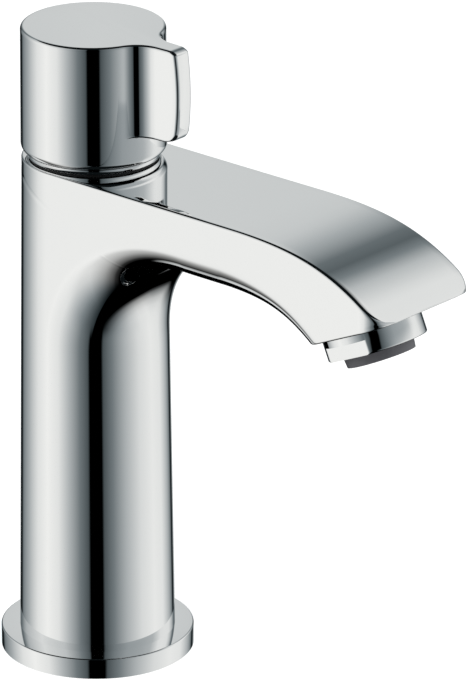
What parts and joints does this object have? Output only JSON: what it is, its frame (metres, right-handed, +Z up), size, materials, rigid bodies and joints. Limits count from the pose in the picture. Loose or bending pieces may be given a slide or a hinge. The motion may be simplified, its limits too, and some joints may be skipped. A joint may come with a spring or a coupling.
{
  "type": "basin pillar tap",
  "caption": "Basin pillar tap: round column, flat spout bent down to an angled aerator, and a cylinder handle with a thin grip over a ceramic disc valve.",
  "frame": {"origin": "centre of the foot flange's underside, on the column axis where the tap stands on the deck", "axes": "+Z up along the column, -Y from the column towards the spout's outlet, +X to the spout's left as seen by the user"},
  "size_m": [0.052, 0.1405, 0.234],
  "materials": {
    "chrome": "polished chrome plate on brass",
    "brass": "turned brass",
    "steel": "stainless steel",
    "seal_rubber": "black rubber",
    "outlet_rubber": "grey silicone",
    "ceramic": "lapped white ceramic",
    "pale_plastic": "natural acetal",
    "dark_plastic": "black acetal"
  },
  "bodies": {
    "tap_body": {"body": "chrome", "column": "chrome", "base_flange": "chrome", "base_seal": "seal_rubber", "shank": "brass", "riser_tube": "brass", "riser_o_rings": "seal_rubber", "clamp_gasket": "seal_rubber", "clamp_washer": "steel", "backnut": "brass", "valve_housing": "brass", "housing_o_ring": "seal_rubber", "valve_seat_seal": "seal_rubber", "fixed_disc": "ceramic", "thrust_washer": "pale_plastic", "guide_ring": "dark_plastic", "aerator_housing": "chrome", "aerator_seal": "seal_rubber", "inlet_sieve": "pale_plastic", "flow_regulator": "pale_plastic", "aerator_core": "pale_plastic", "jet_insert": "outlet_rubber"},
    "handle_group": {"moving_disc": "ceramic", "spindle": "brass", "spindle_o_rings": "seal_rubber", "spindle_clip": "steel", "handle": "chrome", "spline_adapter": "pale_plastic", "handle_screw": "steel", "screw_plug": "chrome"}
  },
  "joints": [
    {"name": "handle_turn", "type": "hinge", "parent": "tap_body", "child": "handle_group", "pos_m": [0, 0, 0.14], "axis": [0, 0, 1], "range_deg": [0, 90]}
  ]
}
